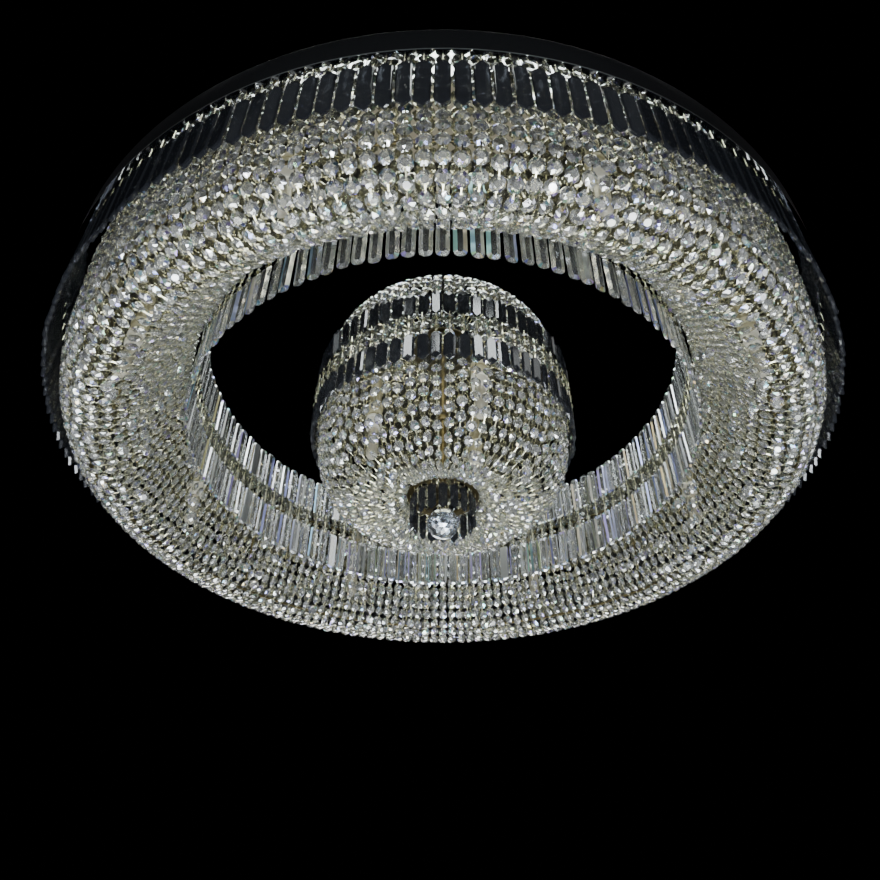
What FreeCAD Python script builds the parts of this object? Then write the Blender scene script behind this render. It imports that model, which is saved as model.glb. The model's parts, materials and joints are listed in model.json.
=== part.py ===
import FreeCAD, Part
import math
import os

Vector = FreeCAD.Vector
doc = FreeCAD.newDocument("crystal_ceiling_light")

# Driving sizes in millimetres and counts. Drops are measured down from the plate's mirror face.
sizes = {
    # base pan: a mirror plate with a standing rim, held under a cross of bars on the ceiling
    "plate_radius": 500,
    "plate_thick": 2,
    "pan_height": 40,
    "rim_sheet": 1.5,
    "bar_width": 30,
    "bar_thick": 3,
    "bar_end": 18,
    "screw_circle": 300,
    "screw_hole": 3,
    "cable_hole": 9,
    "grommet_wall": 3,
    "grommet_lip": 2,
    "fit_gap": 0.3,
    "stud_size": 3,
    "stud_reach": 7,
    "nut_size": 6,
    "nut_height": 11,
    "block_length": 46,
    "block_width": 20,
    "block_height": 15,
    "block_offset": 60,
    # outer skirt of smoked prisms on pins
    "skirt_inset": 5,
    "skirt_count": 180,
    "skirt_drop": 6,
    "skirt_length": 78,
    "skirt_width": 15,
    "skirt_depth": 6,
    "skirt_point": 9,
    "pin_size": 1,
    # inner wall of clear prisms, each below one bead
    "inner_radius": 330,
    "inner_count": 120,
    "inner_drop": 16,
    "inner_length": 60,
    "inner_width": 15,
    "inner_depth": 6,
    "inner_corner": 5,
    "bead_width": 14,
    "bead_depth": 5,
    # bead chains draped from the skirt to the inner wall
    "chain_size": 2.6,
    "chain_crowd": 0.84,
    "chain_skirt_gap": 15,
    "chain_inner_gap": 7,
    "belly_shoulder": 96,
    "belly_shoulder_inset": 7,
    "belly_depth": 131,
    "belly_inner_inset": 65,
    # hoop that holds the chains out
    "hoop_sides": 24,
    "hoop_wall": 4,
    "hoop_rise": 6,
    "rod_count": 8,
    "rod_size": 2,
    # centre piece: beads, smoked prisms and a bowl of chains
    "centre_radius": 177,
    "centre_count": 66,
    "centre_drop": 15.5,
    "centre_length": 45,
    "centre_width": 14.5,
    "centre_depth": 6,
    "centre_point": 7,
    "bowl_chain_gap": 5,
    "bowl_shoulder": 100,
    "bowl_shoulder_inset": 8,
    "bowl_depth": 154,
    "bowl_inner_inset": 61,
    # bottom ring with short prisms, held by the stem
    "stem_size": 5,
    "stem_collar": 9,
    "collar_height": 6,
    "ring_rise": 23,
    "ring_thick": 4,
    "ring_outer": 46,
    "ring_inner": 38,
    "hub_size": 9,
    "arm_width": 6,
    "arm_count": 3,
    "short_count": 18,
    "short_radius": 42,
    "short_pin": 3,
    "short_length": 41,
    "short_width": 11,
    "short_depth": 4,
    "short_point": 6,
    # crystal ball on an eye and a link
    "eye_bore": 2.6,
    "eye_wire": 2,
    "eye_seat": 1.5,
    "link_bore": 3.4,
    "link_wire": 1.6,
    "link_slack": 0.9,
    "loop_bore": 2.6,
    "loop_seat": 1.5,
    "weld_sink": 0.5,
    "ball_radius": 20,
    "ball_sides": 10,
    "ball_rows": 5,
    # lamps
    "ring_lamps": 8,
    "centre_lamps": 3,
    "centre_lamp_circle": 95,
    "holder_size": 11,
    "holder_height": 22,
    "bulb_size": 8,
    "bulb_length": 50,
}

sheet = doc.addObject("Spreadsheet::Sheet", "Sizes")
for row, (name, value) in enumerate(sizes.items(), start=1):
    sheet.set("A%d" % row, name)
    sheet.set("B%d" % row, str(value))
    sheet.setAlias("B%d" % row, name)
doc.recompute()


def size(name):
    return float(sheet.get(name))


def count(name):
    return int(round(size(name)))


def bind(piece, **expressions):
    for prop, expression in expressions.items():
        piece.setExpression(prop.replace("_", "."), expression)
    return piece


def cylinder(name, radius, height, bottom, x="0", y="0"):
    piece = doc.addObject("Part::Cylinder", name)
    return bind(piece, Radius=radius, Height=height, Placement_Base_x=x, Placement_Base_y=y,
                Placement_Base_z=bottom)


def box(name, length, width, height, x, y, bottom):
    piece = doc.addObject("Part::Box", name)
    return bind(piece, Length=length, Width=width, Height=height, Placement_Base_x=x,
                Placement_Base_y=y, Placement_Base_z=bottom)


def rod(name, sides, radius, height, bottom, x="0", y="0"):
    piece = doc.addObject("Part::Prism", name)
    piece.Polygon = sides
    return bind(piece, Circumradius=radius, Height=height, Placement_Base_x=x, Placement_Base_y=y,
                Placement_Base_z=bottom)


def fuse(name, pieces):
    joined = doc.addObject("Part::MultiFuse", name)
    joined.Shapes = pieces
    joined.Refine = True
    return joined


def cut(name, base, tool):
    piece = doc.addObject("Part::Cut", name)
    piece.Base = base
    piece.Tool = tool
    return piece


def around(shape, number, start=0.0):
    step = 360.0 / number
    return [shape.rotated(Vector(), Vector(0, 0, 1), start + step * turn) for turn in range(number)]


def group(label, shapes):
    piece = doc.addObject("Part::Feature", label)
    piece.Shape = Part.makeCompound(shapes) if len(shapes) > 1 else shapes[0]
    return piece


def solid(points, faces):
    sides = []
    for face in faces:
        corners = [points[corner] for corner in face]
        sides.append(Part.Face(Part.makePolygon(corners + corners[:1])))
    body = Part.Solid(Part.Shell(sides))
    if body.Volume < 0:
        body.reverse()
    return body


mirror = -size("pan_height")
mirrorAt = "-Sizes.pan_height"
plateTop = "-(Sizes.pan_height - Sizes.plate_thick)"
skirtRadius = size("plate_radius") - size("skirt_inset")
chainOuter = skirtRadius - size("skirt_depth") - size("chain_skirt_gap")
chainInner = size("inner_radius") + size("inner_depth") + size("chain_inner_gap")
ringDrop = size("bowl_depth") - size("ring_rise")
chainOuterAt = "(Sizes.plate_radius - Sizes.skirt_inset - Sizes.skirt_depth - Sizes.chain_skirt_gap)"
chainInnerAt = "(Sizes.inner_radius + Sizes.inner_depth + Sizes.chain_inner_gap)"
lampCircleAt = "((%s + %s) / 2)" % (chainOuterAt, chainInnerAt)
ringDropAt = "(Sizes.bowl_depth - Sizes.ring_rise)"
quarters = ((1, 0), (0, 1), (-1, 0), (0, -1))


# Base pan: mirror plate with the rim standing on its edge.
def basePan():
    rimHeight = "Sizes.pan_height - Sizes.plate_thick"
    outside = cylinder("rim_outside", "Sizes.plate_radius", rimHeight, plateTop)
    inside = cylinder("rim_inside", "Sizes.plate_radius - Sizes.rim_sheet", rimHeight, plateTop)
    cut("rim_wall", outside, inside)
    disc = cylinder("plate_disc", "Sizes.plate_radius", "Sizes.plate_thick", mirrorAt)
    holes = [rod("stem_hole", 12, "Sizes.stem_size + Sizes.fit_gap", "Sizes.plate_thick", mirrorAt)]
    for turn, (x, y) in enumerate(quarters):
        holes.append(rod("stud_hole_%d" % turn, 8, "Sizes.stud_size + Sizes.fit_gap", "Sizes.plate_thick",
                         mirrorAt, "%d * %s" % (x, lampCircleAt), "%d * %s" % (y, lampCircleAt)))
    cut("mirror_plate", disc, fuse("plate_holes", holes))


# Cross of flat bars on the ceiling, with the cable hole, the screw holes and what hangs on it.
def ceilingCross():
    length = "2 * (%s + Sizes.bar_end)" % lampCircleAt
    half = "-(%s + Sizes.bar_end)" % lampCircleAt
    under = "-Sizes.bar_thick"
    barX = box("bar_x", length, "Sizes.bar_width", "Sizes.bar_thick", half, "-Sizes.bar_width / 2", under)
    barY = box("bar_y", "Sizes.bar_width", length, "Sizes.bar_thick", "-Sizes.bar_width / 2", half, under)
    grommet = "Sizes.cable_hole + Sizes.grommet_wall"
    holes = [rod("grommet_hole", 16, grommet, "Sizes.bar_thick", under)]
    for turn, (x, y) in enumerate(quarters):
        holes.append(cylinder("screw_hole_%d" % turn, "Sizes.screw_hole", "Sizes.bar_thick", under,
                              "%d * Sizes.screw_circle" % x, "%d * Sizes.screw_circle" % y))
    cut("ceiling_cross", fuse("crossed_bars", [barX, barY]), fuse("cross_holes", holes))
    sleeve = rod("grommet_sleeve", 16, grommet, "Sizes.bar_thick", under)
    lip = rod("grommet_flange", 16, grommet + " + Sizes.grommet_wall", "Sizes.grommet_lip",
              "-(Sizes.bar_thick + Sizes.grommet_lip)")
    bore = cylinder("grommet_bore", "Sizes.cable_hole", "Sizes.bar_thick + Sizes.grommet_lip",
                    "-(Sizes.bar_thick + Sizes.grommet_lip)")
    cut("cable_grommet", fuse("grommet_body", [sleeve, lip]), bore)
    box("terminal_block", "Sizes.block_length", "Sizes.block_width", "Sizes.block_height",
        "Sizes.block_offset", "-Sizes.block_width / 2", "-(Sizes.bar_thick + Sizes.block_height)")


# Studs down from the bars and the cap nuts that hold the plate up.
def fixings():
    studHeight = "Sizes.pan_height + Sizes.stud_reach - Sizes.bar_thick"
    studEnd = "-(Sizes.pan_height + Sizes.stud_reach)"
    stud = rod("stud_blank", 8, "Sizes.stud_size", studHeight, studEnd, lampCircleAt)
    nutEnd = "-(Sizes.pan_height + Sizes.nut_height)"
    nut = rod("nut_hexagon", 6, "Sizes.nut_size", "Sizes.nut_height", nutEnd, lampCircleAt)
    thread = rod("nut_thread", 8, "Sizes.stud_size", "Sizes.stud_reach", studEnd, lampCircleAt)
    capNut = cut("nut_blank", nut, thread)
    doc.recompute()
    group("hanging_studs", around(stud.Shape, 4))
    group("cap_nuts", around(capNut.Shape, 4))


# One cut crystal: a flat front with the given outline and a ridge along its back.
def crystal(outline, ridge, radius, depth, top):
    points = [Vector(radius, x, top + z) for x, z in outline]
    points += [Vector(radius - depth, 0, top + z) for z in ridge]
    upper, lower = len(outline), len(outline) + 1
    return points, upper, lower


# Prism with a point at both ends.
def pointedPrism(radius, top, length, width, depth, point):
    half = width / 2
    outline = [(0, 0), (half, -point), (half, point - length), (0, -length), (-half, point - length),
               (-half, -point)]
    points, upper, lower = crystal(outline, (-point, point - length), radius, depth, top)
    faces = [range(6), (0, 1, upper), (1, 2, lower, upper), (2, 3, lower), (3, 4, lower),
             (4, 5, upper, lower), (5, 0, upper)]
    return solid(points, faces)


# Prism with a flat top and cut corners at its lower end.
def blockPrism(radius, top, length, width, depth, corner):
    half = width / 2
    outline = [(-half, 0), (half, 0), (half, corner - length), (half - corner, -length),
               (corner - half, -length), (-half, corner - length)]
    points, upper, lower = crystal(outline, (-corner, corner - length), radius, -depth, top)
    faces = [range(6), (0, 1, upper), (1, 2, lower, upper), (2, 3, lower), (3, 4, lower), (4, 5, lower),
             (5, 0, upper, lower)]
    return solid(points, faces)


# Bead between its two hooks: a rhombus with an upright edge at the back and a level edge in front.
def hangerBead(radius, top, drop, width, depth):
    middle = top - drop / 2
    points = [Vector(radius, 0, top), Vector(radius, 0, top - drop),
              Vector(radius + depth, width / 2, middle), Vector(radius + depth, -width / 2, middle)]
    return solid(points, [(0, 1, 2), (0, 2, 3), (1, 3, 2), (0, 3, 1)])


# Hook pin: three sides, tapering down to the prism's tip.
def hookPin(radius, top, length):
    wire = size("pin_size")
    points = [Vector(radius, 0, top), Vector(radius - 1.5 * wire, wire, top),
              Vector(radius - 1.5 * wire, -wire, top), Vector(radius, 0, top - length)]
    return solid(points, [(0, 1, 2), (0, 1, 3), (1, 2, 3), (2, 0, 3)])


# Outer skirt: smoked prisms, each on a pin under the plate.
def skirt():
    pin = hookPin(skirtRadius, mirror, size("skirt_drop"))
    group("skirt_pins", around(pin, count("skirt_count")))
    prism = pointedPrism(skirtRadius, mirror - size("skirt_drop"), size("skirt_length"),
                         size("skirt_width"), size("skirt_depth"), size("skirt_point"))
    group("skirt_prisms", around(prism, count("skirt_count")))


# Inner wall: a bead row under the plate and clear prisms below it.
def innerWall():
    bead = hangerBead(size("inner_radius"), mirror, size("inner_drop"), size("bead_width"),
                      -size("bead_depth"))
    group("inner_beads", around(bead, count("inner_count")))
    prism = blockPrism(size("inner_radius"), mirror - size("inner_drop"), size("inner_length"),
                       size("inner_width"), size("inner_depth"), size("inner_corner"))
    group("inner_prisms", around(prism, count("inner_count")))


# Three-sided bar from one section to the next. Of its two possible side folds it takes the fuller one.
def bar(start, end):
    points = start + end
    if len(points) == 4:
        return solid(points, [(0, 1, 2), (0, 2, 3), (0, 3, 1), (1, 2, 3)])
    folds = ([(0, 1, 4), (0, 4, 3), (0, 2, 5), (0, 5, 3)], [(0, 1, 3), (1, 4, 3), (0, 2, 3), (2, 5, 3)])
    bodies = [solid(points, [(0, 1, 2), (3, 4, 5), (1, 2, 5, 4)] + fold) for fold in folds]
    return max(bodies, key=lambda body: body.Volume)


# One chain of beads as straight bars, flat outside and as wide as the beads have room for, that end in a
# point at each hook.
def strand(route, number):
    half = size("chain_size")
    sections = [[Vector(route[0][0], 0, route[0][1])]]
    for before, here, after in zip(route, route[1:], route[2:]):
        along = Vector(after[0] - before[0], 0, after[1] - before[1]).normalize()
        out = Vector(-along.z, 0, along.x) * half
        room = size("chain_crowd") * 2 * math.pi * here[0] / number
        aside = Vector(0, min(size("bead_width"), room) / 2, 0)
        middle = Vector(here[0], 0, here[1])
        sections.append([middle - out, middle + out + aside, middle + out - aside])
    sections.append([Vector(route[-1][0], 0, route[-1][1])])
    bars = [bar(start, end) for start, end in zip(sections, sections[1:])]
    return [copy for piece in bars for copy in around(piece, number)]


# Ring of chains: down behind the skirt, under the lamps and up behind the inner wall.
def ringChains():
    route = [(chainOuter, mirror),
             (chainOuter - size("belly_shoulder_inset"), mirror - size("belly_shoulder")),
             (chainInner + size("belly_inner_inset"), mirror - size("belly_depth")),
             (chainInner, mirror)]
    group("ring_chains", strand(route, count("skirt_count")))


# Hoop inside the chains, a little above their shoulder, with the rods that carry it.
def chainHoop():
    inset = "(Sizes.belly_shoulder_inset + Sizes.chain_size + 2 * Sizes.fit_gap)"
    outer = "(%s - %s)" % (chainOuterAt, inset)
    bottom = "-(Sizes.pan_height + Sizes.belly_shoulder - Sizes.hoop_rise)"
    outside = rod("hoop_outside", count("hoop_sides"), outer, "Sizes.hoop_wall", bottom)
    inside = rod("hoop_inside", count("hoop_sides"), outer + " - Sizes.hoop_wall", "Sizes.hoop_wall", bottom)
    cut("chain_hoop", outside, inside)
    length = "(Sizes.belly_shoulder - Sizes.hoop_rise - Sizes.hoop_wall)"
    carrier = rod("hoop_rod_blank", 3, "Sizes.rod_size", length, "-(Sizes.pan_height + %s)" % length,
                  outer + " - Sizes.hoop_wall / 2 - Sizes.fit_gap")
    doc.recompute()
    group("hoop_rods", around(carrier.Shape, count("rod_count")))


# Centre piece: bead row, smoked prisms and the bowl of chains.
def centrePiece():
    radius = size("centre_radius")
    bead = hangerBead(radius, mirror, size("centre_drop"), size("bead_width"), size("bead_depth"))
    group("centre_beads", around(bead, count("centre_count")))
    prism = pointedPrism(radius, mirror - size("centre_drop"), size("centre_length"), size("centre_width"),
                         size("centre_depth"), size("centre_point"))
    group("centre_prisms", around(prism, count("centre_count")))
    start = radius - size("centre_depth") - size("bowl_chain_gap")
    route = [(start, mirror),
             (start - size("bowl_shoulder_inset"), mirror - size("bowl_shoulder")),
             (start - size("bowl_inner_inset"), mirror - size("bowl_depth")),
             (size("ring_outer") + size("fit_gap"), mirror - ringDrop - size("ring_thick") / 2)]
    group("bowl_chains", strand(route, count("centre_count")))


# Stem through the plate, its nut, the bottom ring on three arms and the short prisms.
def stemAndRing():
    ringTop = "-(Sizes.pan_height + %s)" % ringDropAt
    ringEnd = "-(Sizes.pan_height + %s + Sizes.ring_thick)" % ringDropAt
    shaftHeight = ringDropAt + " + Sizes.ring_thick + Sizes.plate_thick + Sizes.collar_height"
    shaft = rod("stem_shaft", 12, "Sizes.stem_size", shaftHeight, ringEnd)
    collar = rod("stem_collar_ring", 12, "Sizes.stem_collar", "Sizes.collar_height",
                 "-(Sizes.pan_height + Sizes.collar_height)")
    seat = rod("stem_seat", 12, "Sizes.stem_collar", "Sizes.collar_height", ringTop)
    fuse("centre_stem", [shaft, collar, seat])
    nut = rod("stem_nut_hexagon", 6, "Sizes.stem_collar", "Sizes.collar_height", plateTop)
    cut("stem_nut", nut, rod("stem_nut_thread", 12, "Sizes.stem_size", "Sizes.collar_height", plateTop))
    sides = count("short_count")
    outside = rod("ring_outside", sides, "Sizes.ring_outer", "Sizes.ring_thick", ringEnd)
    inside = rod("ring_inside", sides, "Sizes.ring_inner", "Sizes.ring_thick", ringEnd)
    band = cut("ring_band", outside, inside)
    hub = rod("ring_hub", 12, "Sizes.hub_size", "Sizes.ring_thick", ringEnd)
    arms = []
    for turn in range(count("arm_count")):
        arm = box("ring_arm_%d" % turn, "(Sizes.ring_outer + Sizes.ring_inner) / 2", "Sizes.arm_width",
                  "Sizes.ring_thick", "0", "0", ringEnd)
        arms.append(arm)
        angle = 360.0 / count("arm_count") * turn
        arm.setExpression("Placement.Base.x", "Sizes.arm_width / 2 * sin(%s deg)" % angle)
        arm.setExpression("Placement.Base.y", "-Sizes.arm_width / 2 * cos(%s deg)" % angle)
        arm.setExpression("Placement.Rotation.Angle", "%s deg" % angle)
    bore = rod("hub_bore", 12, "Sizes.stem_size", "Sizes.ring_thick", ringEnd)
    cut("bottom_ring", fuse("ring_frame", [band, hub] + arms), bore)
    half = 180.0 / sides
    under = mirror - ringDrop - size("ring_thick")
    pin = hookPin(size("short_radius"), under, size("short_pin"))
    group("short_pins", around(pin, sides, half))
    prism = pointedPrism(size("short_radius"), under - size("short_pin"), size("short_length"),
                         size("short_width"), size("short_depth"), size("short_point"))
    group("short_prisms", around(prism, sides, half))


# Flat link of eight sides round its own axis: along Y when it lies in the XZ plane.
def link(name, bore, wire, centre, acrossX):
    outside = rod(name + "_outside", 8, "%s + %s" % (bore, wire), wire, "0")
    inside = rod(name + "_inside", 8, bore, wire, "0")
    axis = Vector(1, 0, 0) if acrossX else Vector(0, 1, 0)
    side = "Placement.Base.x" if acrossX else "Placement.Base.y"
    for piece in (outside, inside):
        piece.Placement.Rotation = FreeCAD.Rotation(Vector(0, 0, 1), axis)
        piece.setExpression(side, "-%s / 2" % wire)
        piece.setExpression("Placement.Base.z", centre)
    return cut(name, outside, inside)


# Crystal ball with flat facets in rows, hung by its loop on a link in the stem's eye.
def crystalBall():
    under = "(Sizes.pan_height + %s + Sizes.ring_thick + Sizes.eye_seat)" % ringDropAt
    eyeAt = "-(%s + Sizes.eye_bore + Sizes.eye_wire - Sizes.weld_sink)" % under
    linkAt = "(%s - Sizes.eye_bore + Sizes.link_slack - Sizes.link_bore)" % eyeAt
    loopAt = "(%s - Sizes.link_bore + Sizes.link_slack - Sizes.loop_bore)" % linkAt
    eye = link("eye_link", "Sizes.eye_bore", "Sizes.eye_wire", eyeAt, False)
    seat = rod("eye_seat_disc", 12, "Sizes.stem_size", "Sizes.eye_seat", "-" + under)
    fuse("stem_eye", [seat, eye])
    link("jump_link", "Sizes.link_bore", "Sizes.link_wire", linkAt, True)
    loop = link("loop_link", "Sizes.loop_bore", "Sizes.link_wire", loopAt, False)
    foot = "(%s - Sizes.loop_bore - Sizes.link_wire + Sizes.weld_sink - Sizes.loop_seat)" % loopAt
    disc = rod("loop_seat_disc", 8, "Sizes.loop_bore", "Sizes.loop_seat", foot)
    fuse("ball_loop", [loop, disc])
    doc.recompute()
    radius = size("ball_radius")
    sides, rows = count("ball_sides"), count("ball_rows")
    points, faces = [], []
    for row in range(rows + 1):
        tilt = math.pi * ((row + 0.5) / (rows + 1) - 0.5)
        for side in range(sides):
            turn = 2 * math.pi * side / sides
            level = radius * math.cos(tilt)
            points.append(Vector(level * math.cos(turn), level * math.sin(turn), radius * math.sin(tilt)))
    for row in range(rows):
        for side in range(sides):
            here, beside = row * sides + side, row * sides + (side + 1) % sides
            faces.append((here, beside, beside + sides, here + sides))
    faces.append(range(sides))
    faces.append(range(rows * sides, (rows + 1) * sides))
    ball = group("crystal_ball", [solid(points, faces)])
    ball.setExpression("Placement.Base.z", "%s - Sizes.ball_radius * %r" % (foot, points[-1].z / radius))


# Lampholders under the plate with capsule bulbs, in the ring and round the stem.
def lamps(prefix, circle, number, start):
    holder = rod(prefix + "_holder_blank", 6, "Sizes.holder_size", "Sizes.holder_height",
                 "-(Sizes.pan_height + Sizes.holder_height)", circle)
    bulb = rod(prefix + "_bulb_blank", 6, "Sizes.bulb_size", "Sizes.bulb_length",
               "-(Sizes.pan_height + Sizes.holder_height + Sizes.bulb_length)", circle)
    doc.recompute()
    group(prefix + "_lampholders", around(holder.Shape, number, start))
    group(prefix + "_bulbs", around(bulb.Shape, number, start))


basePan()
ceilingCross()
fixings()
skirt()
innerWall()
ringChains()
chainHoop()
centrePiece()
stemAndRing()
crystalBall()
lamps("ring", lampCircleAt, count("ring_lamps"), 180.0 / count("ring_lamps"))
lamps("centre", "Sizes.centre_lamp_circle", count("centre_lamps"), 180.0 / count("centre_lamps"))
doc.recompute()

nodes = ["rim_wall", "mirror_plate", "ceiling_cross", "cable_grommet", "terminal_block", "hanging_studs",
         "cap_nuts", "skirt_pins", "skirt_prisms", "inner_beads", "inner_prisms", "ring_chains", "chain_hoop",
         "hoop_rods", "centre_beads", "centre_prisms", "bowl_chains", "centre_stem", "stem_nut",
         "bottom_ring", "short_pins", "short_prisms", "stem_eye", "jump_link", "ball_loop", "crystal_ball",
         "ring_lampholders", "ring_bulbs", "centre_lampholders", "centre_bulbs"]
for piece in doc.Objects:
    if "Invalid" in piece.State or "Error" in piece.State:
        raise RuntimeError("%s failed" % piece.Name)
for name in nodes:
    shape = doc.getObject(name).Shape
    if shape.isNull() or not shape.isValid():
        raise RuntimeError("%s has no valid shape" % name)
os.makedirs("parts", exist_ok=True)
for name in nodes:
    doc.getObject(name).Shape.exportStep("parts/%s.step" % name)
    print(name, len(doc.getObject(name).Shape.Solids))
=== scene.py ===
import bpy
import bmesh
import json
import math
import random
from mathutils import Matrix, Vector

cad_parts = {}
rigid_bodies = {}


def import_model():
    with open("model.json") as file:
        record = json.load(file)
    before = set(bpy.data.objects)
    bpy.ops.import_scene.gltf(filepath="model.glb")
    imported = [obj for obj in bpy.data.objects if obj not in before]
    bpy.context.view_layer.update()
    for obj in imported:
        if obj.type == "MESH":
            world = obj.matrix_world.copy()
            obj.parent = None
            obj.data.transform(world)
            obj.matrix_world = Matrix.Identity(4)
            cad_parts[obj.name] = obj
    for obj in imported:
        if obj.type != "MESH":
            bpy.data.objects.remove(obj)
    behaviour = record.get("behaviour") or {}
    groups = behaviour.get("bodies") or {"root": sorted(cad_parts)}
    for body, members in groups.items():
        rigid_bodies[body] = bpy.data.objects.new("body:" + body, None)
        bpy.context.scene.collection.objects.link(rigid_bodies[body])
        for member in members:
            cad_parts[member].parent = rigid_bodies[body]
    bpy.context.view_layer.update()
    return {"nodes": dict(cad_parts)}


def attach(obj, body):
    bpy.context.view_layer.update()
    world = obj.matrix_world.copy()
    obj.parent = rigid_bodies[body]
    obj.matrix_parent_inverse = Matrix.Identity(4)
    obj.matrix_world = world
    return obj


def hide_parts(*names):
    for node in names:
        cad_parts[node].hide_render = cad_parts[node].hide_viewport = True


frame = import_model()
scene = bpy.context.scene
mm = 0.001
mirrorAt = -40 * mm  # polished underside of the plate
print("frame loaded", len(frame["nodes"]))


# a socket as a Python value: sums on it add Math nodes
class Wire:
    def __init__(self, tree, socket=None):
        self.tree = tree
        self.socket = socket

    def node(self, kind, settings=None, inputs=None, out=0):
        made = self.tree.nodes.new(kind)
        for name, value in (settings or {}).items():
            if name == "stops":
                ramp = made.color_ramp.elements
                while len(ramp) < len(value):
                    ramp.new(0.5)
                for stop, (place, colour) in zip(ramp, value):
                    stop.position = place
                    stop.color = colour
            else:
                setattr(made, name, value)
        for name, value in (inputs or {}).items():
            self.feed(made.inputs[name], value)
        return Wire(self.tree, made.outputs[out])

    def feed(self, socket, value):
        if isinstance(value, Wire):
            self.tree.links.new(value.socket, socket)
        else:
            socket.default_value = value

    def maths(self, operation, *values):
        return self.node("ShaderNodeMath", {"operation": operation}, dict(enumerate(values)))

    def __add__(self, other):
        return self.maths("ADD", self, other)

    def __radd__(self, other):
        return self.maths("ADD", other, self)

    def __sub__(self, other):
        return self.maths("SUBTRACT", self, other)

    def __rsub__(self, other):
        return self.maths("SUBTRACT", other, self)

    def __mul__(self, other):
        return self.maths("MULTIPLY", self, other)

    def __rmul__(self, other):
        return self.maths("MULTIPLY", other, self)

    def __truediv__(self, other):
        return self.maths("DIVIDE", self, other)

    def __rtruediv__(self, other):
        return self.maths("DIVIDE", other, self)


def axisOf(sheet, vector, axis):
    return sheet.node("ShaderNodeSeparateXYZ", None, {"Vector": vector}, axis)


def vectorMaths(sheet, operation, *vectors, out=0):
    return sheet.node("ShaderNodeVectorMath", {"operation": operation}, dict(enumerate(vectors)), out)


def clamped(sheet, value, low, high):
    return sheet.node("ShaderNodeClamp", None, {"Value": value, "Min": low, "Max": high})


# each colour is three numbers or a link
def blend(sheet, amount, first, second, how="MIX"):
    first, second = [(*tone, 1) if isinstance(tone, tuple) else tone for tone in (first, second)]
    return sheet.node("ShaderNodeMix", {"data_type": "RGBA", "blend_type": how},
                      {0: amount, 6: first, 7: second}, 2)


def finish(name, colour, **sockets):
    material = bpy.data.materials.new(name)
    material.use_nodes = True
    shader = material.node_tree.nodes["Principled BSDF"]
    shader.inputs["Base Color"].default_value = (*colour, 1)
    for socket, value in sockets.items():
        shader.inputs[socket.replace("_", " ")].default_value = value
    return material, shader, Wire(material.node_tree)


def grain(sheet, scale, detail=3.0):
    where = sheet.node("ShaderNodeTexCoord", out="Object")
    return sheet.node("ShaderNodeTexNoise", None, {"Vector": where, "Scale": scale, "Detail": detail}, "Fac")


def bumpFrom(sheet, shader, height, distance, strength):
    bump = sheet.node("ShaderNodeBump", None, {"Height": height, "Distance": distance, "Strength": strength})
    sheet.feed(shader.inputs["Normal"], bump)


def metalFinish(name, colour, worn, low, high, scale):
    material, shader, sheet = finish(name, colour, Metallic=1.0)
    spots = grain(sheet, scale)
    sheet.feed(shader.inputs["Roughness"], low + (high - low) * spots)
    sheet.feed(shader.inputs["Base Color"], blend(sheet, spots, colour, worn))
    return material


def glassFinish(name, colour, tinted, low, high, haze, ior=1.56, blur=0.24):
    material, shader, sheet = finish(name, colour, Transmission_Weight=1.0 - haze, IOR=ior)
    spots = grain(sheet, 60.0)
    gloss = low + (high - low) * spots
    if tinted:  # facets that throw the light back, and their colour
        tone = sheet.node("ShaderNodeAttribute", {"attribute_name": "tint"}, out="Color")
        shine = sheet.node("ShaderNodeAttribute", {"attribute_name": "shine"}, out="Fac")
        sheet.feed(shader.inputs["Metallic"], shine)
        gloss = gloss + blur * shine
    else:
        tone = blend(sheet, spots, colour, tuple(0.8 * part for part in colour))
    sheet.feed(shader.inputs["Base Color"], tone)
    sheet.feed(shader.inputs["Roughness"], gloss)
    return material


panLook = {"paint": (0.005, 0.005, 0.0055), "specular": 0.3, "grain": 900.0, "gloss": 0.42, "glossSpread": 0.16}
panPaint, panShader, panSheet = finish("pan_paint", panLook["paint"], Roughness=0.5,
                                       Specular_IOR_Level=panLook["specular"])
panGrain = grain(panSheet, panLook["grain"], 2.0)
panSheet.feed(panShader.inputs["Roughness"], panLook["gloss"] + panLook["glossSpread"] * panGrain)
bumpFrom(panSheet, panShader, panGrain, distance=0.0004, strength=0.15)

# the olive tone over the bowl and the ring is painted haze that stands in for the lit inside of the fixture
mirrorLook = {"steel": (0.66, 0.67, 0.64), "worn": (0.6, 0.61, 0.58), "paintedHaze": (0.64, 0.61, 0.46),
              "paintedHazeShare": 0.035, "bowlReach": 158, "ringFrom": 344, "ringTo": 470, "backAbove": -39.5,
              "gloss": 0.012, "glossSpread": 0.018, "backGloss": 0.3, "backSpread": 0.12}
mirrorSteel, mirrorShader, mirrorSheet = finish("mirror_steel", mirrorLook["steel"], Metallic=1.0)
mirrorSpots = grain(mirrorSheet, 9.0)
mirrorWhere = mirrorSheet.node("ShaderNodeTexCoord", out="Object")
mirrorHeight = axisOf(mirrorSheet, mirrorWhere, "Z")
mirrorBack = mirrorSheet.maths("GREATER_THAN", mirrorHeight, mirrorLook["backAbove"] * mm)  # unpolished upper side
mirrorFlat = vectorMaths(mirrorSheet, "MULTIPLY", mirrorWhere, (1, 1, 0))
mirrorReach = vectorMaths(mirrorSheet, "LENGTH", mirrorFlat, out="Value")
overBowl = mirrorSheet.maths("LESS_THAN", mirrorReach, mirrorLook["bowlReach"] * mm)
pastOpening = mirrorSheet.maths("GREATER_THAN", mirrorReach, mirrorLook["ringFrom"] * mm)
overRing = pastOpening * mirrorSheet.maths("LESS_THAN", mirrorReach, mirrorLook["ringTo"] * mm)
mirrorPaintedHaze = mirrorSheet.maths("MAXIMUM", overBowl, overRing) * (1.0 - mirrorBack)  # painted olive haze over the bowl and the ring, standing in for the lit inside of the fixture
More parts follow.
